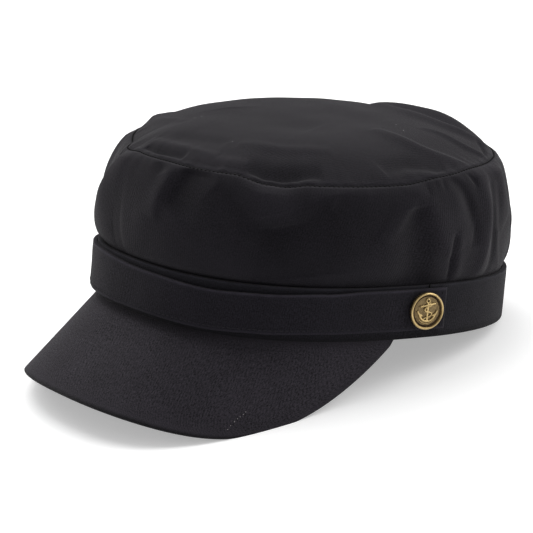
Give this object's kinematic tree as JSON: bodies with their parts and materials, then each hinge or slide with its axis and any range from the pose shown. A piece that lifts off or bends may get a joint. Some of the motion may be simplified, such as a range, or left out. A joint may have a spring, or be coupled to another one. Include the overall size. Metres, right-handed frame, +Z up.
{
  "type": "cadet cap",
  "caption": "Black cotton cadet cap with a flat puffed crown, a folded band, a front strap held by two brass anchor buttons, and a short arched peak.",
  "frame": {"origin": "on the table, under the middle of the cap's box as it rests on its peak and the back of its band", "axes": "+Z up, -Y the front with the peak, +X the wearer's left"},
  "size_m": [0.183, 0.248, 0.1184],
  "materials": {
    "crown_twill": "matt cotton twill",
    "band_twill": "matt cotton twill, folded double",
    "strap_twill": "matt cotton twill, folded and stitched",
    "peak_twill": "ribbed cotton twill over a stiff board",
    "antique_brass": "stamped antique brass, darkened in the recesses"
  },
  "bodies": {
    "root": {"crown_top": "crown_twill", "crown_side": "crown_twill", "head_band": "band_twill", "front_strap": "strap_twill", "peak": "peak_twill", "button_left": "antique_brass", "button_right": "antique_brass"}
  },
  "joints": []
}
